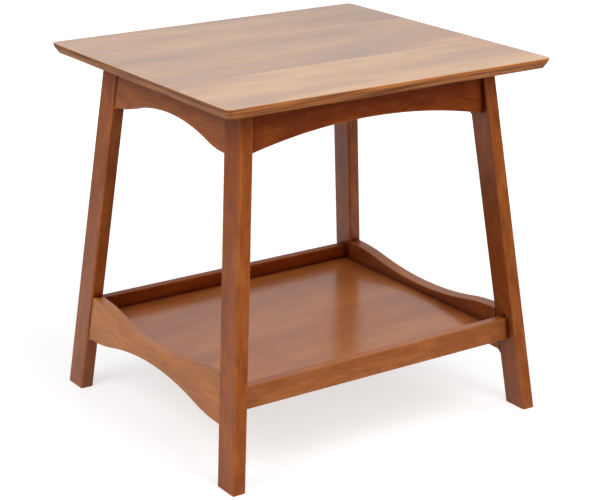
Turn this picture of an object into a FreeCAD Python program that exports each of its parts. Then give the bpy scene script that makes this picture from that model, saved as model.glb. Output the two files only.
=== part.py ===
import FreeCAD, Part
import math
import os
from FreeCAD import Placement, Rotation, Vector

# End table with a tray shelf, in millimetres: X to the right, Y to the back, Z up.
# The origin is on the floor, under the middle of the top.

# Table top
top_width = 610.0
top_depth = 558.0
table_height = 607.0
top_thickness = 17.0
top_corner_radius = 11.0
top_foot_radius = 3.0       # corners of the bevel's lower edge
top_band = 6.5              # upper, steep part of the edge
top_band_undercut = 2.0     # how far the band runs in
top_bevel_undercut = 7.5    # how far the bevel below it runs in
top_arris_radius = 1.5

# Side frames: two legs, an apron and a rail in one plane that leans inwards
lean_deg = 6.0              # lean of each frame towards the middle
splay_deg = 6.0             # splay of each leg within its frame
foot_side_inset = 3.0       # outer face of a foot, inside the top's side edge
foot_end_inset = 3.5        # outer edge of a foot, inside the top's front or back edge
leg_thickness = 23.0
leg_width = 47.6
leg_arris_radius = 3.5
side_board_thickness = 20.0     # apron and rail, flush with the legs on the inside
side_corner_radius = 9.0        # corner curve between a board's lower edge and the leg
side_corner_bite_deg = 20.0     # angle at which that curve runs into the leg

# Side aprons, heights measured up the leaning frame
side_apron_waist = 54.5         # height of the board at its middle
side_apron_arch = 25.5          # drop of its lower edge from the middle to the legs
side_apron_end_radius = 150.0   # reverse curve at each end of that edge

# Front and back aprons, upright
cross_board_thickness = 16.0
apron_setback = 6.0             # behind the legs' edges, at the top
apron_waist = 51.5
apron_arch = 27.0
board_arris = 2.0               # small chamfers along the boards' edges
end_arris = 1.5                 # and up the ends of the front and back boards

# Tray shelf and its rails
shelf_height = 134.5            # upper face of the shelf above the floor
shelf_thickness = 12.0
tongue_thickness = 6.0
groove_depth = 6.0
rail_lip = 25.5                 # front and back rails above the shelf
rail_height = 39.0
rail_setback = 19.3             # behind the legs' edges, at the shelf
rail_top_arris = 2.5
side_rail_lip = 15.6            # side rails above the shelf at their middle
side_rail_waist = 30.1
side_rail_dish = 21.5           # rise of the upper edge from the middle to the legs
side_rail_dish_end_radius = 392.0
side_rail_arch = 25.2           # drop of the lower edge from the middle to the legs
side_rail_arch_end_radius = 305.0

# Corner blocks
block_leg = 58.0                # length along each board
block_tip = 10.0                # blunt ends of the block
block_height = 22.0

# Tenons of the boards, in mortises in the legs
side_tenon_thickness = 10.0
apron_tenon_thickness = 8.0
rail_tenon_thickness = 6.0
side_apron_shoulder = 11.0      # from a board's upper and lower edges to its tenon
apron_shoulder = 13.0
side_rail_shoulder = 11.0
rail_shoulder = 7.5
cross_tenon_cover = 9.0         # wood between such a tenon and the leg's outer face
mortise_wall = 3.0              # wood between the two mortises that meet in a leg

# Screws
screw_radius = 2.0
screw_head_radius = 4.2
screw_head_height = 2.6
screw_tip = 4.0
screw_cover = 4.5               # wood left ahead of a screw's hole
top_screw_along = 20.0          # from the corner, both ways
top_screw_sunk = 6.0            # depth of the head's seat in the block's lower face

# Clearances
hole_clearance = 0.1            # round screw shanks
head_clearance = 0.6            # round screw heads
tenon_fit = 0.1                 # round each tenon
end_gap = 1.0                   # past the end of a tenon or screw
groove_play = 0.3               # above and past the shelf's tongue
shelf_gap = 0.6                 # between the shelf's body and the rails and legs

# Derived places
underside = table_height - top_thickness
lean = math.radians(lean_deg)
splay = math.radians(splay_deg)
foot_half_width = top_width / 2 - foot_side_inset
foot_half_depth = top_depth / 2 - foot_end_inset
reach = top_width + top_depth + table_height    # longer than anything in the table
frame = Placement(Vector(foot_half_width, 0, 0), Rotation(Vector(0, 1, 0), -lean_deg))
frame_underside = underside / math.cos(lean)
frame_shelf = shelf_height / math.cos(lean)
side_board_middle = side_board_thickness / 2 - leg_thickness
cross_tenon_length = leg_thickness - cross_tenon_cover


def leg_outer_edge(up):
    # distance of a leg's outer edge from the frame's middle, at a height up the frame
    return foot_half_depth - up * math.tan(splay)


def leg_inner_edge(up):
    return leg_outer_edge(up) - leg_width / math.cos(splay)


def inner_face(height):
    # X of the frame's inner face at a height above the floor
    return foot_half_width - height * math.tan(lean) - leg_thickness / math.cos(lean)


apron_face = leg_outer_edge(frame_underside) - apron_setback
apron_back = apron_face - cross_board_thickness
rail_face = leg_outer_edge(frame_shelf) - rail_setback
rail_back = rail_face - cross_board_thickness
# Where the legs' inner edges reach the shelf's corners, on the frames' inner faces
shelf_corner_y = leg_inner_edge((shelf_height + leg_thickness * math.sin(lean)) / math.cos(lean))


def leaned(shape):
    # from the flat frame to its place on the right of the table
    copy = shape.copy()
    copy.Placement = frame.multiply(copy.Placement)
    return copy


def turned(shape):
    # half a turn about the table's upright axis
    copy = shape.copy()
    copy.rotate(Vector(), Vector(0, 0, 1), 180)
    return copy


def flipped(shape):
    # the same piece on the other side of the middle, front to back
    return shape.mirror(Vector(), Vector(0, 1, 0))


def under_top(shape):
    # cut level at the floor and at the underside of the top
    slab = Part.makeBox(2 * reach, 2 * reach, underside, Vector(-reach, -reach, 0))
    return shape.common(slab)


def inside_frames(shape):
    # cut to the inner faces of both side frames
    beyond = Part.makeBox(reach, 2 * reach, 3 * reach, Vector(-leg_thickness, -reach, -reach))
    right = leaned(beyond)
    return shape.cut(right).cut(turned(right))


def polygon_prism(points, along):
    return Part.Face(Part.makePolygon(points + points[:1])).extrude(along)


def board_prism(edges, along):
    return Part.Face(Part.Wire(Part.__sortEdges__(edges))).extrude(along)


def lines(points):
    return [Part.makeLine(start, end) for start, end in zip(points, points[1:])]


def between_legs():
    # the space between a frame's legs, a wedge up to where their inner edges would meet
    base = leg_inner_edge(-reach)
    meet = leg_inner_edge(0) / math.tan(splay)
    corners = [Vector(-reach, -base, -reach), Vector(-reach, base, -reach), Vector(-reach, 0, meet)]
    return polygon_prism(corners, Vector(2 * reach, 0, 0))


def waved_edges(x, half_span, middle, rise, end_radius):
    # a middle arc that turns into a reverse arc at each end, level in the middle and at both ends;
    # a rise below zero puts the ends lower than the middle
    drop = abs(rise)
    sign = math.copysign(1.0, rise)
    both_radii = (half_span ** 2 + drop ** 2) / (2 * drop)
    middle_radius = both_radii - end_radius
    turn = math.asin(half_span / both_radii)

    def on_middle(angle):
        up = middle + sign * middle_radius * (1 - math.cos(angle))
        return Vector(x, middle_radius * math.sin(angle), up)

    def on_end(side, angle):
        up = middle + sign * (drop - end_radius * (1 - math.cos(angle)))
        return Vector(x, side * (half_span - end_radius * math.sin(angle)), up)

    edges = [Part.Arc(on_middle(-turn), on_middle(0), on_middle(turn)).toShape()]
    for side in (-1, 1):
        arc = Part.Arc(on_end(side, turn), on_end(side, turn / 2), on_end(side, 0))
        edges.append(arc.toShape())
    return edges


def lower_edges(x, middle, drop, end_radius):
    # the arched lower edge of a side board, with a corner curve that runs down each leg;
    # returns the edges and the point where they end, inside the back leg
    base = middle - drop
    meet = splay + math.radians(side_corner_bite_deg)
    corner = side_corner_radius
    half_span = leg_inner_edge(base - corner * (1 - math.sin(meet))) - corner * math.cos(meet)
    edges = waved_edges(x, half_span, middle, -drop, end_radius)
    diagonal = corner * math.sqrt(0.5)
    outside = half_span + corner + leg_width
    for side in (-1, 1):
        start = Vector(x, side * half_span, base)
        halfway = Vector(x, side * (half_span + diagonal), base - corner + diagonal)
        end = Vector(x, side * (half_span + corner), base - corner)
        edges.append(Part.Arc(start, halfway, end).toShape())
        edges.append(Part.makeLine(end, Vector(x, side * outside, base - corner)))
    return edges, Vector(x, outside, base - corner)


def arc_edges(shape, low, high):
    # curved edges that lie in the board's two faces, with their middles between two heights
    found = []
    for edge in shape.Edges:
        box = edge.BoundBox
        flat = box.XLength < board_arris / 10
        if flat and isinstance(edge.Curve, Part.Circle) and low < edge.CenterOfMass.z < high:
            found.append(edge)
    return found


def edges_where(shape, test):
    return [edge for edge in shape.Edges if test(edge.BoundBox)]


# Edges of the boards at their ends: up the frame for the side boards, above the floor for the others
side_apron_crown = frame_underside - side_apron_waist
side_apron_low = side_apron_crown - side_apron_arch
side_rail_dip = frame_shelf + side_rail_lip
side_rail_crown = side_rail_dip - side_rail_waist
side_rail_high = side_rail_dip + side_rail_dish
side_rail_low = side_rail_crown - side_rail_arch
apron_crown = underside - apron_waist
apron_low = apron_crown - apron_arch
rail_high = shelf_height + rail_lip
rail_low = rail_high - rail_height

# Middles of the front and back boards' tenons; a rail's is in the wood beside the shelf's groove
apron_tenon_y = apron_face - cross_board_thickness / 2
rail_tenon_y = rail_face - (cross_board_thickness - groove_depth - groove_play) / 2


def beside(tenon_y, tenon_thickness):
    # where a side board's tenon ends, short of the other mortise in the leg
    return tenon_y - tenon_thickness / 2 - tenon_fit - mortise_wall - end_gap


# Each joint's lower and upper edge, then its place across the leg
side_apron_joint = (
    side_apron_low + side_apron_shoulder,
    frame_underside - side_apron_shoulder,
    beside(apron_tenon_y, apron_tenon_thickness),
)
side_rail_joint = (
    side_rail_low + side_rail_shoulder,
    side_rail_high - side_rail_shoulder,
    beside(rail_tenon_y, rail_tenon_thickness),
)
apron_joint = (apron_low + apron_shoulder, underside - apron_shoulder, apron_tenon_y, apron_tenon_thickness)
rail_joint = (rail_low + rail_shoulder, rail_high - rail_shoulder, rail_tenon_y, rail_tenon_thickness)


def side_tenon(low, high, end_y, fit=0.0, gap=0.0):
    # the back one on the right, rooted in the board; with its fit and gap it is the mortise
    root_y = leg_inner_edge(high) - side_tenon_thickness / 2
    thickness = side_tenon_thickness + 2 * fit
    corner = Vector(side_board_middle - thickness / 2, root_y, low - fit)
    return leaned(Part.makeBox(thickness, end_y + gap - root_y, high - low + 2 * fit, corner))


def cross_tenon(low, high, y, tenon_thickness, fit=0.0, gap=0.0):
    # the right one at the back, sloped like the leg; with its fit and gap it is the mortise
    thickness = tenon_thickness + 2 * fit
    corners = []
    for height, out in (
        (low - fit, -thickness),
        (low - fit, cross_tenon_length + gap),
        (high + fit, cross_tenon_length + gap),
        (high + fit, -thickness),
    ):
        corners.append(Vector(inner_face(height) + out, y - thickness / 2, height))
    return polygon_prism(corners, Vector(0, thickness, 0))


def four_ways(solids):
    # the back right corner's pieces repeated at all four corners
    right = solids + [flipped(solid) for solid in solids]
    return right + [turned(solid) for solid in right]


def cut_all(shape, cutters):
    for cutter in cutters:
        shape = shape.cut(cutter)
    return shape


def rounded_outline(inset, radius, height):
    x = top_width / 2 - inset
    y = top_depth / 2 - inset
    mid = radius * (1 - math.sqrt(0.5))
    edges = []
    for sx, sy in ((1, 1), (-1, 1), (-1, -1), (1, -1)):
        across = Vector(sx * (x - radius), sy * y, height)
        bend = Vector(sx * (x - mid), sy * (y - mid), height)
        along = Vector(sx * x, sy * (y - radius), height)
        edges.append(Part.Arc(across, bend, along).toShape())
    for side in (-1, 1):
        edges += lines([Vector(radius - x, side * y, height), Vector(x - radius, side * y, height)])
        edges += lines([Vector(side * x, radius - y, height), Vector(side * x, y - radius, height)])
    return Part.Wire(Part.__sortEdges__(edges))


def level_edges(shape, height):
    def at_height(box):
        return max(abs(box.ZMin - height), abs(box.ZMax - height)) < top_arris_radius / 10

    return edges_where(shape, at_height)


def table_top():
    # a panel with a steep band round its edge and a bevel running in under the band
    band_low = table_height - top_band
    outlines = [
        rounded_outline(top_band_undercut + top_bevel_undercut, top_foot_radius, underside),
        rounded_outline(top_band_undercut, top_corner_radius, band_low),
        rounded_outline(0, top_corner_radius, table_height),
    ]
    panel = Part.makeLoft(outlines, True, True)
    return panel.makeFillet(top_arris_radius, level_edges(panel, table_height))


def leg():
    # the back right leg
    past = leg_width + leg_thickness
    length = table_height / (math.cos(lean) * math.cos(splay)) + 2 * past
    bar = Part.makeBox(leg_thickness, leg_width, length, Vector(-leg_thickness, -leg_width, -past))
    bar = bar.makeFillet(leg_arris_radius, edges_where(bar, lambda box: box.ZLength > length / 2))
    bar.Placement = Placement(Vector(0, foot_half_depth, 0), Rotation(Vector(1, 0, 0), splay_deg))
    mortises = [side_tenon(*joint, tenon_fit, end_gap) for joint in (side_apron_joint, side_rail_joint)]
    mortises += [cross_tenon(*joint, tenon_fit, end_gap) for joint in (apron_joint, rail_joint)]
    return cut_all(under_top(leaned(bar)), mortises)


def finished_side_board(board, joint):
    # cut between the legs, leaned into place and given a tenon at each end
    placed = under_top(leaned(board.common(between_legs())))
    tenon = side_tenon(*joint)
    return placed.fuse([tenon, flipped(tenon)]).removeSplitter()


def side_apron():
    # the right one
    x = -leg_thickness
    edges, end = lower_edges(x, side_apron_crown, side_apron_arch, side_apron_end_radius)
    high = frame_underside + leg_thickness
    top_left, top_right = Vector(x, -end.y, high), Vector(x, end.y, high)
    edges += lines([end, top_right, top_left, Vector(x, -end.y, end.z)])
    board = board_prism(edges, Vector(side_board_thickness, 0, 0))
    board = board.makeChamfer(board_arris, arc_edges(board, 0, high))
    return finished_side_board(board, side_apron_joint)


def side_rail():
    # the right one, dished above, arched below and grooved inside for the shelf
    x = -leg_thickness
    edges, end = lower_edges(x, side_rail_crown, side_rail_arch, side_rail_arch_end_radius)
    half_span = leg_inner_edge(side_rail_high)
    edges += waved_edges(x, half_span, side_rail_dip, side_rail_dish, side_rail_dish_end_radius)
    for side in (-1, 1):
        level = Vector(x, side * half_span, side_rail_high)
        corner = Vector(x, side * end.y, side_rail_high)
        edges += lines([level, corner, Vector(x, side * end.y, end.z)])
    board = board_prism(edges, Vector(side_board_thickness, 0, 0))
    waist = (side_rail_dip + side_rail_crown) / 2
    board = board.makeChamfer(board_arris, arc_edges(board, 0, waist))
    board = board.makeChamfer(rail_top_arris, arc_edges(board, waist, side_rail_high))
    rail = finished_side_board(board, side_rail_joint)
    groove = Part.makeBox(
        leg_thickness + groove_depth + groove_play,
        2 * shelf_corner_y,
        tongue_thickness + groove_play,
        Vector(inner_face(shelf_height) - leg_thickness, -shelf_corner_y, shelf_height - tongue_thickness),
    )
    return rail.cut(groove)


def eased_ends(board, outer_y):
    # chamfer the upright arrises at both ends of a board's outer face
    def upright(box):
        tall = box.ZLength > rail_height / 2
        return tall and abs(box.YMin - outer_y) < end_arris and box.YLength < end_arris

    return board.makeChamfer(end_arris, edges_where(board, upright))


def finished_cross_board(board, joint):
    # cut to the side frames' inner faces and given a tenon at each end
    tenon = cross_tenon(*joint)
    eased = eased_ends(inside_frames(board), board.BoundBox.YMax)
    return eased.fuse([tenon, turned(flipped(tenon))]).removeSplitter()


def apron():
    # the back one, its lower edge one arc
    half_span = inner_face(apron_low)
    radius = (half_span ** 2 + apron_arch ** 2) / (2 * apron_arch)
    outside = half_span + leg_thickness
    base = apron_crown - radius + math.sqrt(radius ** 2 - outside ** 2)
    left = Vector(-outside, apron_back, base)
    right = Vector(outside, apron_back, base)
    arch = Part.Arc(left, Vector(0, apron_back, apron_crown), right).toShape()
    upright = Vector(0, 0, underside - base)
    edges = [arch] + lines([right, right + upright, left + upright, left])
    board = board_prism(edges, Vector(0, cross_board_thickness, 0))
    curved = [edge for edge in board.Edges if isinstance(edge.Curve, Part.Circle)]
    board = board.makeChamfer(board_arris, curved)
    return finished_cross_board(board, apron_joint)


def rail():
    # the back one, grooved inside for the shelf
    outside = inner_face(rail_low) + leg_thickness
    place = Vector(-outside, rail_back, rail_low)
    board = Part.makeBox(2 * outside, cross_board_thickness, rail_height, place)
    middle = (rail_low + rail_high) / 2
    upper = edges_where(board, lambda box: box.XLength > outside and box.ZMin > middle)
    board = board.makeChamfer(rail_top_arris, upper)
    lower = edges_where(board, lambda box: box.XLength > outside and box.ZMax < middle)
    board = board.makeChamfer(board_arris, lower)
    groove = Part.makeBox(
        2 * reach,
        cross_board_thickness + groove_depth + groove_play,
        tongue_thickness + groove_play,
        Vector(-reach, rail_back - cross_board_thickness, shelf_height - tongue_thickness),
    )
    return finished_cross_board(board, rail_joint).cut(groove)


def shelf_panel():
    # a panel whose rebated edges leave a tongue for the grooves, with corners cut round the legs
    body_x = inner_face(shelf_height) - shelf_gap
    body_y = rail_back - shelf_gap
    tongue_x = inner_face(shelf_height) + groove_depth
    tongue_y = rail_back + groove_depth
    low = shelf_height - shelf_thickness
    body = Part.makeBox(2 * body_x, 2 * body_y, shelf_thickness, Vector(-body_x, -body_y, low))
    tongue = Part.makeBox(
        2 * tongue_x,
        2 * tongue_y,
        tongue_thickness,
        Vector(-tongue_x, -tongue_y, shelf_height - tongue_thickness),
    )
    notch = Part.makeBox(reach, reach, shelf_height, Vector(body_x, shelf_corner_y - shelf_gap, 0))
    return cut_all(body.fuse(tongue).removeSplitter(), four_ways([notch]))


# Inner corner under the top, where the back apron meets the right frame
corner_x = inner_face(underside)
corner_y = apron_back
block_low = underside - block_height

# Screws up through the blocks into the top, each with a seat for its head
top_screw_length = block_height - top_screw_sunk + top_thickness - screw_cover - end_gap
top_screw_seat = Vector(
    corner_x - top_screw_along,
    corner_y - top_screw_along,
    block_low + top_screw_sunk,
)


def top_screw():
    outline = [
        Vector(0, 0, -screw_head_height),
        Vector(screw_head_radius, 0, -screw_head_height),
        Vector(screw_head_radius, 0, 0),
        Vector(screw_radius, 0, 0),
        Vector(screw_radius, 0, top_screw_length - screw_tip),
        Vector(0, 0, top_screw_length),
    ]
    profile = Part.Face(Part.Wire(lines(outline + outline[:1])))
    turning = profile.revolve(Vector(), Vector(0, 0, 1), 360)
    return turning.translated(top_screw_seat)


def top_screw_hole():
    # shank hole above the seat, head recess below it
    shank = Part.makeCylinder(screw_radius + hole_clearance, top_screw_length + end_gap, top_screw_seat)
    recess_low = top_screw_seat - Vector(0, 0, 2 * top_screw_sunk)
    recess = Part.makeCylinder(screw_head_radius + head_clearance, 2 * top_screw_sunk, recess_low)
    return shank.fuse(recess)


def corner_block():
    # the back right one
    leg_x, leg_y = corner_x - block_leg, corner_y - block_leg
    outside = corner_x + leg_thickness
    outline = [
        Vector(outside, corner_y, block_low),
        Vector(leg_x, corner_y, block_low),
        Vector(leg_x, corner_y - block_tip, block_low),
        Vector(corner_x - block_tip, leg_y, block_low),
        Vector(outside, leg_y, block_low),
    ]
    block = inside_frames(polygon_prism(outline, Vector(0, 0, block_height)))
    return block.cut(top_screw_hole())


def pieces():
    back_leg = leg()
    front_leg = flipped(back_leg)
    side_board = side_apron()
    low_board = side_rail()
    back_apron = apron()
    back_rail = rail()
    back_block = corner_block()
    front_block = flipped(back_block)
    return {
        "table_top": cut_all(table_top(), four_ways([top_screw_hole()])),
        "leg_back_right": back_leg,
        "leg_front_right": front_leg,
        "leg_front_left": turned(back_leg),
        "leg_back_left": turned(front_leg),
        "side_apron_right": side_board,
        "side_apron_left": turned(side_board),
        "side_rail_right": low_board,
        "side_rail_left": turned(low_board),
        "back_apron": back_apron,
        "front_apron": turned(back_apron),
        "back_rail": back_rail,
        "front_rail": turned(back_rail),
        "shelf_panel": shelf_panel(),
        "corner_block_back_right": back_block,
        "corner_block_front_right": front_block,
        "corner_block_front_left": turned(back_block),
        "corner_block_back_left": turned(front_block),
        "top_screws": Part.makeCompound(four_ways([top_screw()])),
    }


os.makedirs("parts", exist_ok=True)
for name, shape in pieces().items():
    shape.exportStep("parts/" + name + ".step")
    print(name, len(shape.Solids), "solid", round(shape.Volume), "mm3", shape.isValid())
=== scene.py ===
import math

import bpy
import numpy as np
from mathutils import Matrix, Vector


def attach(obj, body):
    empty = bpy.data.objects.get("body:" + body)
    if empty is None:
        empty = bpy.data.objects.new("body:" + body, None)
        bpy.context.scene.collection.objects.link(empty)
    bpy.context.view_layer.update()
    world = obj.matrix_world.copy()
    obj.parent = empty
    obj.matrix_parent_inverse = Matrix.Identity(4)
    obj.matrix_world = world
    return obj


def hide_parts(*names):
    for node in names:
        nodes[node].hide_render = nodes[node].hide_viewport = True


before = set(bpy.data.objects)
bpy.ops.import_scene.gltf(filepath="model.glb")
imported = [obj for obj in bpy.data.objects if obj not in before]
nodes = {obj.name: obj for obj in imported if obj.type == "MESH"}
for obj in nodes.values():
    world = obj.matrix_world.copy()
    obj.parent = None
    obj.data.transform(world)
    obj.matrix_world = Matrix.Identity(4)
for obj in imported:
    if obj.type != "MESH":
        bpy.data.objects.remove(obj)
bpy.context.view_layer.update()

# End table with a tray shelf. The dictionaries hold millimetres and degrees; the scene is in metres.
mm = 0.001
scene = bpy.context.scene
print("frame loaded:", len(nodes), "nodes")

white = (1, 1, 1, 1)
toRight, toBack, upwards = (1, 0, 0), (0, 1, 0), (0, 0, 1)

# A Mix node repeats its sockets' names for each type of value, so they go by number
factor, valueA, valueB, colourA, colourB, colourOut = 0, 2, 3, 6, 7, 2
mixValue = {"data_type": "FLOAT"}
mixColour = {"data_type": "RGBA"}
multiplyColour = {"data_type": "RGBA", "blend_type": "MULTIPLY"}


def linear(code):
    # sRGB hex to linear RGBA
    value = np.array([int(code[i:i + 2], 16) for i in (1, 3, 5)]) / 255
    value = np.where(value <= 0.04045, value / 12.92, ((value + 0.055) / 1.055) ** 2.4)
    return (*value.tolist(), 1.0)


def add(tree, kind, settings=None, inputs=None):
    # one node with its settings; each input is a value or another node's output, by socket name or number
    node = tree.nodes.new(kind)
    for key, value in (settings or {}).items():
        setattr(node, key, value)
    for key, value in (inputs or {}).items():
        if isinstance(value, bpy.types.NodeSocket):
            tree.links.new(value, node.inputs[key])
        else:
            node.inputs[key].default_value = value
    return node


def newMaterial(name):
    # a material with nothing but its shader
    material = bpy.data.materials.new(name)
    material.use_nodes = True
    return material, material.node_tree.nodes["Principled BSDF"]


def dress(piece, material):
    # gives a piece its one material
    piece.data.materials.clear()
    piece.data.materials.append(material)


# Camera, at the photograph's viewing angle
view = {
    "place": (-1562.94, -2335.78, 1222.99),
    "yaw": 33.8926,      # from the back towards the right
    "pitch": 18.8645,    # down
    "roll": -0.0739,
    "lens": 105.436,
    "sensor": 36.0,
}
cameraData = bpy.data.cameras.new("camera")
cameraData.sensor_fit = "HORIZONTAL"
cameraData.sensor_width = view["sensor"]
cameraData.lens = view["lens"]
camera = bpy.data.objects.new("camera", cameraData)
scene.collection.objects.link(camera)
yaw = Matrix.Rotation(math.radians(-view["yaw"]), 4, "Z")
pitch = Matrix.Rotation(math.radians(90 - view["pitch"]), 4, "X")
roll = Matrix.Rotation(math.radians(view["roll"]), 4, "Z")
camera.matrix_world = Matrix.Translation(Vector(view["place"]) * mm) @ yaw @ pitch @ roll
scene.camera = camera
scene.view_settings.view_transform = "Standard"
print("camera set")


def stagePlane(name, low, high, heights=(0.0, 0.0)):
    # a plane between two corners, at one height along its first side and at another along the opposite one
    mesh = bpy.data.meshes.new(name)
    (x0, y0), (x1, y1), (z0, z1) = low, high, heights
    corners = np.array([(x0, y0, z0), (x1, y0, z0), (x1, y1, z1), (x0, y1, z1)]) * mm
    mesh.from_pydata(corners.tolist(), [], [(0, 1, 2, 3)])
    plane = bpy.data.objects.new(name, mesh)
    scene.collection.objects.link(plane)
    return plane


def seenDirectly(tree):
    # 1 for what the eye, a reflection or a clear body sees, 0 for light on its way to the table
    rays = add(tree, "ShaderNodeLightPath").outputs
    seen = add(tree, "ShaderNodeMath", {"operation": "ADD"}, {
        0: rays["Is Camera Ray"], 1: rays["Is Glossy Ray"]}).outputs[0]
    return add(tree, "ShaderNodeMath", {"operation": "ADD", "use_clamp": True}, {
        0: seen, 1: rays["Is Transmission Ray"]}).outputs[0]


# Floor: matt paper, which to the eye brightens to white with distance and in reflections fades with it
paper = {
    "size": 30000.0,
    "colour": "#ececec",    # what it throws back onto the table
    "seen": "#bcbcbc",      # what the eye and reflections see of it
    "roughness": 0.9,
    "glow": {"from": 500.0, "to": 2200.0, "near": 0.66, "far": 0.97},    # its added brightness to them
    "fade": {"from": 900.0, "to": 2600.0, "near": 0.82, "far": 0.3},     # and what reflections see of both
}
half = paper["size"] / 2
floor = stagePlane("floor", (-half, -half), (half, half))
material, shader = newMaterial("matt paper")
tree = material.node_tree
seen = seenDirectly(tree)
eye = add(tree, "ShaderNodeLightPath").outputs["Is Camera Ray"]
place = add(tree, "ShaderNodeTexCoord").outputs["Object"]
away = add(tree, "ShaderNodeVectorMath", {"operation": "LENGTH"}, {0: place}).outputs["Value"]
byDistance = {}
for part in ("glow", "fade"):
    setting = paper[part]
    byDistance[part] = add(tree, "ShaderNodeMapRange", {"interpolation_type": "SMOOTHSTEP"}, {
        "Value": away, "From Min": setting["from"] * mm, "From Max": setting["to"] * mm,
        "To Min": setting["near"], "To Max": setting["far"]}).outputs[0]
faded = add(tree, "ShaderNodeMix", mixValue, {
    factor: eye, valueA: byDistance["fade"], valueB: 1.0}).outputs[0]
tint = add(tree, "ShaderNodeMix", mixColour, {
    factor: seen, colourA: linear(paper["colour"]), colourB: linear(paper["seen"])}).outputs[colourOut]
tint = add(tree, "ShaderNodeMix", multiplyColour, {
    factor: seen, colourA: tint, colourB: faded}).outputs[colourOut]
glow = add(tree, "ShaderNodeMath", {"operation": "MULTIPLY"}, {0: seen, 1: byDistance["glow"]}).outputs[0]
glow = add(tree, "ShaderNodeMath", {"operation": "MULTIPLY"}, {0: glow, 1: faded}).outputs[0]
tree.links.new(tint, shader.inputs["Base Color"])
tree.links.new(glow, shader.inputs["Emission Strength"])
shader.inputs["Emission Color"].default_value = white
shader.inputs["Roughness"].default_value = paper["roughness"]
shader.inputs["Specular IOR Level"].default_value = 0.0
dress(floor, material)

# Flag: a black card that rises away from the front of the table, seen only in reflections
flag = {
    "near": 300.0,
    "far": 4000.0,
    "halfWidth": 4000.0,
    "rise": (4.0, 2600.0),    # heights of its near and its far side
    "colour": "#1c1a18",
    "roughness": 0.9,
}
nearCorner = (flag["halfWidth"], -flag["near"])
farCorner = (-flag["halfWidth"], -flag["far"])
card = stagePlane("flag", nearCorner, farCorner, flag["rise"])
material, shader = newMaterial("black card")
shader.inputs["Base Color"].default_value = linear(flag["colour"])
shader.inputs["Roughness"].default_value = flag["roughness"]
dress(card, material)
card.visible_camera = False
card.visible_diffuse = False
card.visible_shadow = False

# Soft boxes, all turned to one point; reflections show only the key, close above the front
softBoxes = {
    "key": {"watts": 10.8, "size": 900.0, "place": (50.0, -1050.0, 1680.0), "mirrored": True},
    "front": {"watts": 22.0, "size": 1200.0, "place": (300.0, -2700.0, 1700.0), "mirrored": False},
    "left": {"watts": 40.0, "size": 1700.0, "place": (-2300.0, -100.0, 2400.0), "mirrored": False},
    "right": {"watts": 17.0, "size": 1500.0, "place": (2000.0, -500.0, 2400.0), "mirrored": False},
    "back": {"watts": 10.0, "size": 1200.0, "place": (400.0, 2700.0, 1300.0), "mirrored": False},
}
aim = Vector((0.0, 0.0, 350.0))
for name, box in softBoxes.items():
    lampData = bpy.data.lights.new(name, "AREA")
    lampData.shape = "SQUARE"
    lampData.size = box["size"] * mm
    lampData.energy = box["watts"]
    lamp = bpy.data.objects.new(name, lampData)
    scene.collection.objects.link(lamp)
    lamp.visible_camera = False
    lamp.visible_glossy = box["mirrored"]
    place = Vector(box["place"])
    lamp.location = place * mm
    lamp.rotation_euler = (place - aim).to_track_quat("Z", "Y").to_euler()

# Room: even light from all round, white to the eye, with walls that reflections see dimmer near the horizon
room = {
    "light": 0.27,               # on the table
    "low": 0.32, "from": 9.5,    # brightness of the walls, up to so many degrees above the horizon
    "high": 1.02, "to": 14.5,    # and from so many degrees on
}
world = bpy.data.worlds.new("room")
world.use_nodes = True
scene.world = world
tree = world.node_tree
towards = add(tree, "ShaderNodeTexCoord").outputs["Generated"]
rise = add(tree, "ShaderNodeSeparateXYZ", None, {0: towards}).outputs["Z"]
lowest, highest = (math.sin(math.radians(room[key])) for key in ("from", "to"))
wall = add(tree, "ShaderNodeMapRange", None, {
    "Value": rise, "From Min": lowest, "From Max": highest,
    "To Min": room["low"], "To Max": room["high"]}).outputs[0]
eye = add(tree, "ShaderNodeLightPath").outputs["Is Camera Ray"]
wall = add(tree, "ShaderNodeMath", {"operation": "MAXIMUM"}, {0: wall, 1: eye}).outputs[0]
level = add(tree, "ShaderNodeMapRange", None, {
    "Value": seenDirectly(tree), "To Min": room["light"], "To Max": wall}).outputs[0]
background = tree.nodes["Background"]
background.inputs["Color"].default_value = white
tree.links.new(level, background.inputs["Strength"])
print("studio set")

# Side frames: two legs, an apron and a rail in a plane that leans in
sideFrame = {
    "lean": 6.0,               # of the frame
    "splay": 6.0,              # of the legs in it
    "footHalfWidth": 302.0,
    "footHalfDepth": 275.5,
    "legThickness": 23.0,
    "legWidth": 47.6,
    "underside": 590.0,        # height of the top's underside
    "shelf": 134.5,            # height of the shelf's face
}
lean = math.radians(sideFrame["lean"])
splay = math.radians(sideFrame["splay"])
frameUnderside = sideFrame["underside"] / math.cos(lean)    # both heights, measured up the frame
frameShelf = sideFrame["shelf"] / math.cos(lean)


def legOuterEdge(up):
    # distance of a leg's outer edge from the frame's middle, at a height up the frame
    return sideFrame["footHalfDepth"] - up * math.tan(splay)


def legInnerEdge(up):
    # the same for its inner edge, nearer by the leg's level width
    return legOuterEdge(up) - sideFrame["legWidth"] / math.cos(splay)


def innerFace(height):
    # X of a frame's inner face at a height above the floor
    return sideFrame["footHalfWidth"] - height * math.tan(lean) - sideFrame["legThickness"] / math.cos(lean)


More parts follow.
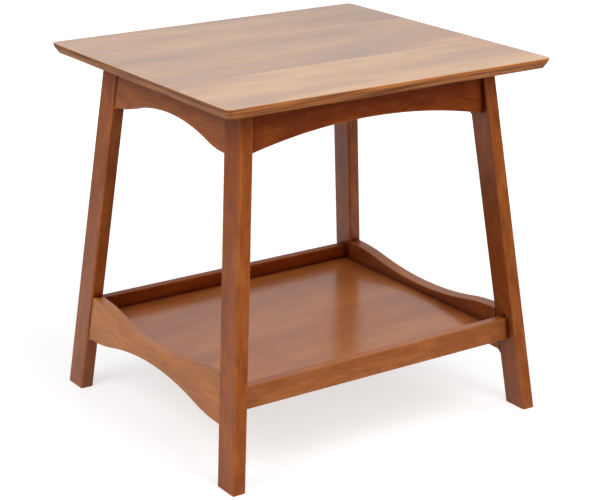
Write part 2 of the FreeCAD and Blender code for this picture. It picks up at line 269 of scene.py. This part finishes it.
def wave(y, halfSpan, middle, rise, endRadius):
    # an arc in the middle that meets a reverse arc at each end: level at the middle and at both ends
    drop = abs(rise)
    bothRadii = (halfSpan ** 2 + drop ** 2) / (2 * drop)
    middleRadius = bothRadii - endRadius
    inMiddle = middleRadius - np.sqrt(np.maximum(middleRadius ** 2 - y ** 2, 0))
    toEnd = np.clip(halfSpan - np.abs(y), 0, endRadius)
    inEnd = drop - endRadius + np.sqrt(endRadius ** 2 - toEnd ** 2)
    turnsAt = middleRadius * halfSpan / bothRadii
    return middle + math.copysign(1, rise) * np.where(np.abs(y) < turnsAt, inMiddle, inEnd)


def mirrored(along, up):
    # a half edge from the middle outwards, made whole
    half = np.stack([along, up], 1)
    return np.concatenate([half[:0:-1] * [-1, 1], half])


def archedEdge(middle, form, stations=48, cornerStations=8):
    # half of a side board's lower edge: the wave, then a small curve that runs down the leg
    corner = form["corner"]
    base = middle - form["arch"]
    meet = splay + math.radians(form["biteDeg"])
    halfSpan = legInnerEdge(base - corner * (1 - math.sin(meet))) - corner * math.cos(meet)
    along = np.linspace(0, halfSpan, stations + 1)
    up = wave(along, halfSpan, middle, -form["arch"], form["archEndRadius"])
    angle = np.linspace(0, math.pi / 2 - meet, cornerStations + 1)[1:]
    along = np.concatenate([along, halfSpan + corner * np.sin(angle)])
    up = np.concatenate([up, base - corner + corner * np.cos(angle)])
    return along, up


def boardSection(form, steps=6, guard=0.6):
    # closed section with four round corners and a guard point on each side of them: the place across
    # the board, the distance from its lower or upper edge, and whether that is the upper one
    angle = np.linspace(0, math.pi / 2, steps + 1)

    def corner(radius):
        # a quarter round, as distances from the face ahead and from the face left behind
        ahead = np.concatenate([[radius + guard], radius - radius * np.sin(angle), [0]])
        behind = np.concatenate([[0], radius - radius * np.cos(angle), [radius + guard]])
        return ahead, behind

    aheadLow, behindLow = corner(form["arris"])
    aheadHigh, behindHigh = corner(form["topArris"])
    outer = form["thickness"]
    across = np.concatenate([outer - aheadLow, outer - behindHigh, aheadHigh, behindLow])
    away = np.concatenate([behindLow, aheadHigh, behindHigh, aheadLow])
    upper = np.repeat([False, True, True, False], len(angle) + 2)
    return across, away, upper


def board(name, node, low, high, section, origin, axes, highSlope=0.0, ease=None, turned=False):
    # point(u, v) = the lower or upper edge at u, moved towards the other edge by the section's distance at v
    # and across the board by its place at v; ease(u) takes the outer face back at the ends, and turned sets
    # the board on the opposite side of the table
    across, away, upper = section
    ruling = high - low
    ruling = ruling / np.linalg.norm(ruling, axis=1)[:, None]
    edge = np.where(upper[None, :, None],
                    high[:, None, :] - ruling[:, None, :] * away[None, :, None],
                    low[:, None, :] + ruling[:, None, :] * away[None, :, None])
    out = np.broadcast_to(across, edge.shape[:2])
    if ease is not None:
        out = out - ease[:, None] * (across > across.max() / 2)
    up = edge[..., 1] + highSlope * upper * out
    axisAlong, axisUp, axisOut = (np.array(axis, float) for axis in axes)
    points = np.array(origin, float) + edge[..., :1] * axisAlong
    points = points + up[..., None] * axisUp + out[..., None] * axisOut
    if turned:
        points = points * [-1, -1, 1]
    rows, ring = edge.shape[:2]
    index = np.arange(rows * ring).reshape(rows, ring)
    beside = np.roll(index, -1, axis=1)
    quads = np.stack([index[:-1], index[1:], beside[1:], beside[:-1]], -1).reshape(-1, 4)
    faces = quads.tolist() + [index[0].tolist(), index[-1][::-1].tolist()]
    mesh = bpy.data.meshes.new(name)
    mesh.from_pydata((points.reshape(-1, 3) * mm).tolist(), [], faces)
    smooth = np.ones(len(faces), bool)
    smooth[-2:] = False    # the two ends
    mesh.polygons.foreach_set("use_smooth", smooth)
    mesh.update()
    piece = bpy.data.objects.new(name, mesh)
    scene.collection.objects.link(piece)
    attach(piece, "root")
    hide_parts(node)
    return piece


# along a side board, up it and out of it, from the frame's inner face at the floor
sideAxes = (toBack, (-math.sin(lean), 0, math.cos(lean)), (math.cos(lean), 0, math.sin(lean)))
sideOrigin = np.array([sideFrame["footHalfWidth"], 0, 0]) - sideFrame["legThickness"] * np.array(sideAxes[2])

# Side aprons: arched boards between the legs, flush with them inside
sideApron = {
    "thickness": 20.0,
    "waist": 54.5,
    "arch": 25.5,
    "archEndRadius": 150.0,
    "corner": 9.0,
    "biteDeg": 20.0,    # angle at which the corner curve meets the leg
    "arris": 3.0,
    "topArris": 0.4,
}
along, up = archedEdge(frameUnderside - sideApron["waist"], sideApron)
low = mirrored(along, up)
levelTop = frameUnderside + sideFrame["legThickness"] * math.tan(lean)
high = mirrored(along / along[-1] * legInnerEdge(levelTop), np.full(len(along), levelTop))
section = boardSection(sideApron)
sideAprons = [
    board("sideApron" + side, "side_apron_" + side.lower(), low, high, section, sideOrigin, sideAxes,
          highSlope=-math.tan(lean), turned=side == "Left")
    for side in ("Right", "Left")
]

# Side rails: waisted boards, dished above and arched below
sideRail = {
    "thickness": 20.0,
    "lip": 15.6,        # height of the dish's middle above the shelf
    "waist": 30.1,
    "dish": 21.5,
    "dishEndRadius": 392.0,
    "arch": 25.2,
    "archEndRadius": 305.0,
    "corner": 9.0,
    "biteDeg": 20.0,
    "arris": 2.5,
    "topArris": 1.6,
}
dip = frameShelf + sideRail["lip"]
along, up = archedEdge(dip - sideRail["waist"], sideRail)
low = mirrored(along, up)
along = along / along[-1] * legInnerEdge(dip + sideRail["dish"])
high = mirrored(along, wave(along, along[-1], dip, sideRail["dish"], sideRail["dishEndRadius"]))
section = boardSection(sideRail)
sideRails = [
    board("sideRail" + side, "side_rail_" + side.lower(), low, high, section, sideOrigin, sideAxes,
          turned=side == "Left")
    for side in ("Right", "Left")
]

# along a front board, up it and out of it
crossAxes = (toRight, upwards, (0, -1, 0))


def crossStations(endArris, stations=48, steps=5):
    # shares of the run from the middle out, then distances from the end around its arris; and how far the
    # outer face eases back at each station of the whole board, by the same quarter round
    angle = np.linspace(0, math.pi / 2, steps + 1)
    run = np.linspace(0, 1, stations)[:-1]
    toEnd = endArris - endArris * np.sin(angle)
    ease = np.concatenate([np.zeros(len(run)), endArris - endArris * np.cos(angle)])
    return run, toEnd, np.concatenate([ease[:0:-1], ease])


def crossEdge(halfLength, run, toEnd):
    # distances from the middle at which half an edge has its points
    return np.concatenate([run * (halfLength - toEnd[0]), halfLength - toEnd])


# Front and back aprons: upright, arched by one arc, set back from the legs' edges
apron = {
    "thickness": 16.0,
    "setback": 6.0,
    "waist": 51.5,
    "arch": 27.0,
    "arris": 3.0,
    "topArris": 0.4,
    "endArris": 1.5,
}
crown = sideFrame["underside"] - apron["waist"]
halfSpan = innerFace(crown - apron["arch"])
radius = (halfSpan ** 2 + apron["arch"] ** 2) / (2 * apron["arch"])
run, toEnd, ease = crossStations(apron["endArris"])
along = crossEdge(halfSpan, run, toEnd)
low = mirrored(along, crown - radius + np.sqrt(radius ** 2 - along ** 2))
along = crossEdge(innerFace(sideFrame["underside"]), run, toEnd)
high = mirrored(along, np.full(len(along), sideFrame["underside"]))
section = boardSection(apron)
apronBack = legOuterEdge(frameUnderside) - apron["setback"] - apron["thickness"]
aprons = [
    board(side + "Apron", side + "_apron", low, high, section, (0, -apronBack, 0), crossAxes, ease=ease,
          turned=side == "back")
    for side in ("front", "back")
]

# Front and back rails: straight, standing above the shelf as the tray's lip
rail = {
    "thickness": 16.0,
    "setback": 19.3,
    "lip": 25.5,
    "height": 39.0,
    "arris": 2.5,
    "topArris": 1.8,
    "endArris": 1.5,
}
railHigh = sideFrame["shelf"] + rail["lip"]
run, toEnd, ease = crossStations(rail["endArris"])
edges = []
for height in (railHigh - rail["height"], railHigh):
    along = crossEdge(innerFace(height), run, toEnd)
    edges.append(mirrored(along, np.full(len(along), height)))
low, high = edges
section = boardSection(rail)
railBack = legOuterEdge(frameShelf) - rail["setback"] - rail["thickness"]
rails = [
    board(side + "Rail", side + "_rail", low, high, section, (0, -railBack, 0), crossAxes, ease=ease,
          turned=side == "back")
    for side in ("front", "back")
]
print("boards made:", len(sideAprons + sideRails + aprons + rails))

# Wood: figure gives a tone from 0, dark, to 1, light, and the stain follows it
evenTone = 0.5


def grainTurn(along, across):
    # turn that lays the grain's direction on X and the face's width on Y
    first = Vector(along).normalized()
    third = first.cross(Vector(across)).normalized()
    second = third.cross(first)
    return Matrix((first, second, third)).to_euler()


def gluedBoards(tree, plank, boards):
    # a panel is glued from wide boards, each with its own tone and its own piece of the figure
    row = add(tree, "ShaderNodeSeparateXYZ", None, {0: plank}).outputs["Y"]
    row = add(tree, "ShaderNodeMath", {"operation": "DIVIDE"}, {0: row, 1: boards["width"] * mm}).outputs[0]
    row = add(tree, "ShaderNodeMath", {"operation": "FLOOR"}, {0: row}).outputs[0]
    row = add(tree, "ShaderNodeMath", {"operation": "ADD"}, {0: row, 1: boards["seed"]}).outputs[0]
    lot = add(tree, "ShaderNodeTexWhiteNoise", {"noise_dimensions": "1D"}, {"W": row}).outputs
    tone = add(tree, "ShaderNodeMapRange", None, {
        "Value": lot["Value"], "To Min": evenTone - boards["share"],
        "To Max": evenTone + boards["share"]}).outputs[0]
    plank = add(tree, "ShaderNodeVectorMath", {"operation": "ADD"}, {0: plank, 1: lot["Color"]}).outputs[0]
    return plank, tone


def grainFigure(tree, plank, tone, look):
    # noises stretched along a slowly wandering grain, each added to the tone by its share
    wander = add(tree, "ShaderNodeTexNoise", None, {
        "Vector": plank, "Scale": 1 / (look["wanderSize"] * mm)}).outputs["Color"]
    swing = look["wander"] * mm
    drift = add(tree, "ShaderNodeVectorMath", {"operation": "MULTIPLY_ADD"}, {
        0: wander, 1: (swing, swing, swing), 2: plank}).outputs[0]
    noises = {}
    for part, (length, width, share, octaves) in look["figure"].items():
        stretched = add(tree, "ShaderNodeMapping", None, {
            "Vector": drift, "Scale": [1 / (size * mm) for size in (length, width, width)]}).outputs[0]
        noises[part] = add(tree, "ShaderNodeTexNoise", None, {
            "Vector": stretched, "Scale": 1.0, "Detail": octaves,
            "Roughness": look["octaveShare"]}).outputs["Fac"]
        centred = add(tree, "ShaderNodeMath", {"operation": "SUBTRACT"}, {
            0: noises[part], 1: evenTone}).outputs[0]
        tone = add(tree, "ShaderNodeMath", {"operation": "MULTIPLY_ADD"}, {
            0: centred, 1: share, 2: tone}).outputs[0]
    return tone, noises


def stainByTone(tree, tone, fleck, look):
    # three colours by tone, and flecks as short dark dashes where their noise is lowest
    ramp = add(tree, "ShaderNodeValToRGB", None, {"Fac": tone})
    stops = ramp.color_ramp.elements
    stops[0].position, stops[1].position = look["toneEnds"]
    stops[0].color, stops[1].color = linear(look["dark"]), linear(look["light"])
    middle = stops.new(evenTone)
    middle.color = linear(look["mid"])
    full, none = look["fleckRange"]
    flecks = add(tree, "ShaderNodeMapRange", None, {
        "Value": fleck, "From Min": full, "From Max": none, "To Min": look["fleck"]}).outputs[0]
    return add(tree, "ShaderNodeMix", multiplyColour, {
        factor: 1.0, colourA: ramp.outputs["Color"], colourB: flecks}).outputs[colourOut]


def arrisWearAndHighlight(tree, colour, look):
    # lighter where the rounded normal leaves the true one: partly stain worn thin on the arrises, partly a
    # painted highlight along them
    rounded = add(tree, "ShaderNodeBevel", None, {"Radius": look["wearWidth"] * mm}).outputs[0]
    unrounded = add(tree, "ShaderNodeNewGeometry").outputs["Normal"]
    agree = add(tree, "ShaderNodeVectorMath", {"operation": "DOT_PRODUCT"}, {
        0: rounded, 1: unrounded}).outputs["Value"]
    none, full = look["wearRange"]
    wornAndHighlit = add(tree, "ShaderNodeMapRange", None, {
        "Value": agree, "From Min": none, "From Max": full, "To Max": look["wear"]}).outputs[0]
    return add(tree, "ShaderNodeMix", mixColour, {
        factor: wornAndHighlit, colourA: colour, colourB: linear(look["wornAndHighlit"])}).outputs[colourOut]


def edgeStainAndShade(tree, plank, colour, edges):
    # edges of a panel darker than its face, in layers, and its end grain darker still: partly stain they
    # drink, partly painted shade
    facing = add(tree, "ShaderNodeTexCoord").outputs["Normal"]
    facing = add(tree, "ShaderNodeSeparateXYZ", None, {0: facing}).outputs
    masks = []
    for axis, (none, full) in (("Z", edges["edgeRange"]), ("X", edges["endRange"])):
        turned = add(tree, "ShaderNodeMath", {"operation": "ABSOLUTE"}, {0: facing[axis]}).outputs[0]
        masks.append(add(tree, "ShaderNodeMapRange", None, {
            "Value": turned, "From Min": none, "From Max": full}).outputs[0])
    onEdge, onEnd = masks
    layers = add(tree, "ShaderNodeMapping", None, {
        "Vector": plank, "Scale": [1 / (size * mm) for size in edges["layer"]]}).outputs[0]
    layers = add(tree, "ShaderNodeTexNoise", None, {"Vector": layers, "Scale": 1.0}).outputs["Fac"]
    ramp = add(tree, "ShaderNodeValToRGB", None, {"Fac": layers})
    stops = ramp.color_ramp.elements
    stops[0].position, stops[1].position = edges["layerEnds"]
    stops[0].color, stops[1].color = linear(edges["dark"]), linear(edges["light"])
    colour = add(tree, "ShaderNodeMix", mixColour, {
        factor: onEdge, colourA: colour, colourB: ramp.outputs["Color"]}).outputs[colourOut]
    colour = add(tree, "ShaderNodeMix", multiplyColour, {
        factor: onEnd, colourA: colour, colourB: linear(edges["endGrainAndShade"])}).outputs[colourOut]
    return colour, onEdge


def jointAndCornerShade(tree, place, colour, look):
    # darkens where other surfaces are near: a narrow band along the joints, partly dark joint lines and
    # partly painted shade, and a wider, softer band of painted shade in the inner corners; not on the feet,
    # by the floor
    height = add(tree, "ShaderNodeSeparateXYZ", None, {0: place}).outputs["Z"]
    offFloor = add(tree, "ShaderNodeMapRange", None, {
        "Value": height, "From Max": look["paintedCornerShadeWidth"] * mm}).outputs[0]
    none, full = look["cornerRange"]
    for part in ("seamAndShade", "paintedCornerShade"):
        openness = add(tree, "ShaderNodeAmbientOcclusion", {"samples": look["cornerSamples"]}, {
            "Distance": look[part + "Width"] * mm}).outputs["AO"]
        amount = add(tree, "ShaderNodeMapRange", None, {
            "Value": openness, "From Min": none, "From Max": full, "To Max": offFloor}).outputs[0]
        colour = add(tree, "ShaderNodeMix", multiplyColour, {
            factor: amount, colourA: colour, colourB: linear(look[part])}).outputs[colourOut]
    return colour


def stainedWood(name, look, along, across, cut):
    # Cherry-toned hardwood, planed, stained and sprayed with satin lacquer: soft mottling and faint streaks
    # along the grain, small dark flecks, lighter arrises, partly stain worn thin and partly a painted
    # highlight, painted shade in the joints and inner corners, and a broad soft sheen from the lacquer
    material, shader = newMaterial(name)
    tree = material.node_tree
    place = add(tree, "ShaderNodeTexCoord").outputs["Object"]
    plank = add(tree, "ShaderNodeMapping", None, {
        "Vector": place, "Rotation": grainTurn(along, across),
        "Location": [distance * mm for distance in cut]}).outputs[0]
    tone = evenTone
    if look["boards"]:
        plank, tone = gluedBoards(tree, plank, look["boards"])
    tone, noises = grainFigure(tree, plank, tone, look)
    colour = stainByTone(tree, tone, noises["fleck"], look)
    # arrises lightened: worn stain and a painted highlight
    colour = arrisWearAndHighlight(tree, colour, look)
    lowest, highest = look["glossRange"]
    gloss = add(tree, "ShaderNodeMapRange", None, {
        "Value": noises["mottle"], "From Min": lowest, "From Max": highest,
        "To Min": look["roughness"] - look["glossSwing"],
        "To Max": look["roughness"] + look["glossSwing"]}).outputs[0]
    if look["edges"]:
        colour, onEdge = edgeStainAndShade(tree, plank, colour, look["edges"])
        gloss = add(tree, "ShaderNodeMix", mixValue, {
            factor: onEdge, valueA: gloss, valueB: look["edges"]["roughness"]}).outputs[0]
        coat = add(tree, "ShaderNodeMapRange", None, {
            "Value": onEdge, "To Min": look["coat"], "To Max": 0.0}).outputs[0]
        tree.links.new(coat, shader.inputs["Coat Weight"])
    # painted shade in the joints and inner corners
    colour = jointAndCornerShade(tree, place, colour, look)
    relief = add(tree, "ShaderNodeBump", None, {
        "Height": noises["fleck"], "Strength": look["relief"],
        "Distance": look["reliefDepth"] * mm}).outputs[0]
    tree.links.new(colour, shader.inputs["Base Color"])
    tree.links.new(gloss, shader.inputs["Roughness"])
    tree.links.new(relief, shader.inputs["Normal"])
    shader.inputs["IOR"].default_value = look["ior"]
    shader.inputs["Coat Weight"].default_value = look["coat"]
    shader.inputs["Coat Roughness"].default_value = look["coatRoughness"]
    return material


# Figure: length along the grain, width across it, share in the tone, octaves. Flecks are drawn coarser than
# real pores, which would be too fine to show.
figure = {
    "cloud": (150.0, 60.0, 0.9, 2.0),
    "mottle": (42.0, 14.0, 1.0, 3.0),
    "streak": (150.0, 4.5, 0.65, 3.0),
    "fleck": (12.0, 1.5, 0.15, 2.0),
}
cherry = {
    "dark": "#7c3810", "mid": "#964c1a", "light": "#ae622a",
    "toneEnds": (0.1, 0.9),          # tones of the darkest and the lightest stain
    "boards": None, "edges": None,
    "figure": figure,
    "octaveShare": 0.6,              # strength of each octave beside the coarser one
    "wander": 30.0,                  # how far the grain wanders
    "wanderSize": 110.0,             # and over what length
    "fleck": 0.62,                   # brightness in a fleck
    "fleckRange": (0.26, 0.40),      # its noise, from a full fleck to none
    # lighter colour on the arrises, its amount and width: partly worn stain, partly a painted highlight
    "wornAndHighlit": "#ce8242", "wear": 0.85, "wearWidth": 4.5,
    "wearRange": (0.985, 0.80),      # agreement of the normals, from no lightening to full
    # colours multiplied in near joints and in inner corners, and their widths: painted shade, along the
    # joints partly dark joint lines
    "seamAndShade": "#a8857a", "seamAndShadeWidth": 11.0, "paintedCornerShade": "#d6bcb4", "paintedCornerShadeWidth": 60.0,
    "cornerRange": (0.95, 0.5),      # openness, from no darkening to full (painted shade)
    "cornerSamples": 8,
    "ior": 1.45, "roughness": 0.36,
    "glossSwing": 0.05,              # change of roughness with the mottle
    "glossRange": (0.3, 0.7),        # its noise, from glossy to dull
    "coat": 0.0, "coatRoughness": 0.28,
    "relief": 0.1, "reliefDepth": 0.2,
}

# Where in the log each piece was cut: along the grain, across the face and into it, so that no two show the
# same figure
cuts = {
    "sideApronRight": (0, 90, 60), "sideApronLeft": (584, 90, 97),
    "sideRailRight": (620, 90, 134), "sideRailLeft": (1341, 90, 171),
    "frontApron": (832, 70, 40), "backApron": (280, 70, 93),
    "frontRail": (1783, 70, 146), "backRail": (820, 70, 199),
    "leg_front_left": (748, 120, 55), "leg_front_right": (1432, 89, 55),
    "leg_back_left": (1020, 58, 55), "leg_back_right": (1840, 27, 55),
    "table_top": (1089, 105, 140), "shelf_panel": (236, 153, 90),
    "corner_block_back_left": (0, 40, 25), "corner_block_back_right": (90, 40, 25),
    "corner_block_front_left": (180, 40, 25), "corner_block_front_right": (270, 40, 25),
}

# Aprons and rails
# darker for the front and back aprons and the back rail: partly a darker board, partly painted shade under
# the top
shadedBoardLook = dict(cherry, dark="#702c08", mid="#863b0c", light="#9a4c14", ior=1.28, roughness=0.42)
sideApronLook = dict(cherry, dark="#884418", mid="#a05622", light="#b46a30")
sideRailLook = dict(cherry, dark="#9c5826", mid="#b66b2e", light="#ca803e", paintedCornerShade="#f4ece8")
# the right rail darker than the left: painted shade inside the frame, with weaker painted shade at its joints
shadedRightRailLook = dict(sideRailLook, dark="#7e4018", mid="#965020", light="#aa642c", seamAndShade="#ccb6ac")
frontRailLook = dict(sideRailLook, dark="#8a4a22", mid="#a25b2a", light="#b66e3a")
boardLooks = {
    "sideApronRight": sideApronLook, "sideApronLeft": sideApronLook,
    "sideRailRight": shadedRightRailLook, "sideRailLeft": sideRailLook,
    "frontApron": shadedBoardLook, "backApron": shadedBoardLook,
    "frontRail": frontRailLook, "backRail": shadedBoardLook,
}
for pieces, along in ((sideAprons + sideRails, toBack), (aprons + rails, toRight)):
    for piece in pieces:
        name = piece.name
        dress(piece, stainedWood("cherry " + name, boardLooks[name], along, upwards, cuts[name]))

# Legs: the grain runs up each leg, which leans towards the middle both ways
legLooks = {
    "leg_front_left": dict(cherry, ior=1.36),
    # front right leg darker, with stronger darkening in its corners: painted shade on its inner face
    "leg_front_right": dict(cherry, dark="#773610", mid="#8f4918", light="#a75f28", paintedCornerShade="#ccb0a6", ior=1.4),
    "leg_back_left": cherry,
    "leg_back_right": cherry,
}
for node, look in legLooks.items():
    leanSign = -1 if node.endswith("right") else 1
    splaySign = -1 if "back" in node else 1
    direction = (leanSign * math.tan(lean), splaySign * math.tan(splay), 1)
    dress(nodes[node], stainedWood("cherry " + node, look, direction, toRight, cuts[node]))

# Top: lighter, glued from three boards, with a full coat of lacquer on its face and duller, darker edges,
# their darkness partly painted shade
topFigure = dict(
    figure,
    cloud=(420.0, 95.0, 1.5, 2.0),
    mottle=(90.0, 26.0, 0.8, 3.0),
    streak=(210.0, 3.2, 0.45, 3.0),
)
topEdges = {
    "edgeRange": (0.95, 0.7),        # how squarely the normal looks up or down, from face to edge
    "endRange": (0.85, 0.97),        # how squarely it looks left or right, from edge to end grain
    "layer": (120.0, 120.0, 2.4),    # size along the grain, across it and through the panel
    "layerEnds": (0.3, 0.7),         # noise of the darkest and the lightest layer
    "dark": "#70360c",
    "light": "#c47836",
    # darkening of the end grain, partly painted shade
    "endGrainAndShade": "#c6d0d4",
    "roughness": 0.6,
}
topLook = dict(
    cherry, dark="#905824", mid="#b07638", light="#cc9452", figure=topFigure, fleck=0.7, wear=0.1,
    boards={"width": 217.0, "seed": 44.0, "share": 0.14}, edges=topEdges,
    ior=1.5, coat=1.0, coatRoughness=0.18,
)
dress(nodes["table_top"], stainedWood("cherry top", topLook, toRight, toBack, cuts["table_top"]))

# Shelf: the top's figure with fainter clouds and streaks, under a thinner coat, with faint painted shade in
# its corners
shelfFigure = dict(topFigure, cloud=(420.0, 95.0, 1.3, 2.0), streak=(210.0, 3.2, 0.25, 3.0))
shelfLook = dict(
    cherry, dark="#8a4819", mid="#a15b28", light="#b26e34", figure=shelfFigure, fleck=0.92, paintedCornerShade="#f2eae6",
    ior=1.2, coat=0.55, coatRoughness=0.2, relief=0.05,
)
dress(nodes["shelf_panel"], stainedWood("cherry shelf", shelfLook, toRight, toBack, cuts["shelf_panel"]))

# Corner blocks: bare wood, pale and dull, with the grain set diagonally
blockLook = dict(cherry, dark="#a07a4c", mid="#b89464", light="#cbaa7c", wornAndHighlit="#d0b084", roughness=0.6)
for node in sorted(name for name in nodes if name.startswith("corner_block")):
    dress(nodes[node], stainedWood("bare " + node, blockLook, (1, 1, 0), (1, -1, 0), cuts[node]))
print("wood finished:", len(bpy.data.materials), "materials")

# Top screws: zinc-plated steel, drawn and tumbled before plating, so dull grey with a faint warm and cool
# cloud and fine scratches in every direction
zinc = {"dark": "#a3a299", "light": "#c9c7be", "cloud": 4.0, "scratch": 0.5, "roughness": (0.28, 0.46)}
material, shader = newMaterial("zinc-plated steel")
tree = material.node_tree
place = add(tree, "ShaderNodeTexCoord").outputs["Object"]
cloud, scratch = (
    add(tree, "ShaderNodeTexNoise", None, {"Vector": place, "Scale": 1 / (zinc[part] * mm)}).outputs["Fac"]
    for part in ("cloud", "scratch")
)
tint = add(tree, "ShaderNodeMix", mixColour, {
    factor: cloud, colourA: linear(zinc["dark"]), colourB: linear(zinc["light"])}).outputs[colourOut]
glossy, dull = zinc["roughness"]
roughness = add(tree, "ShaderNodeMapRange", None, {
    "Value": scratch, "To Min": glossy, "To Max": dull}).outputs[0]
tree.links.new(tint, shader.inputs["Base Color"])
tree.links.new(roughness, shader.inputs["Roughness"])
shader.inputs["Metallic"].default_value = 1.0
dress(nodes["top_screws"], material)
print("screws finished")
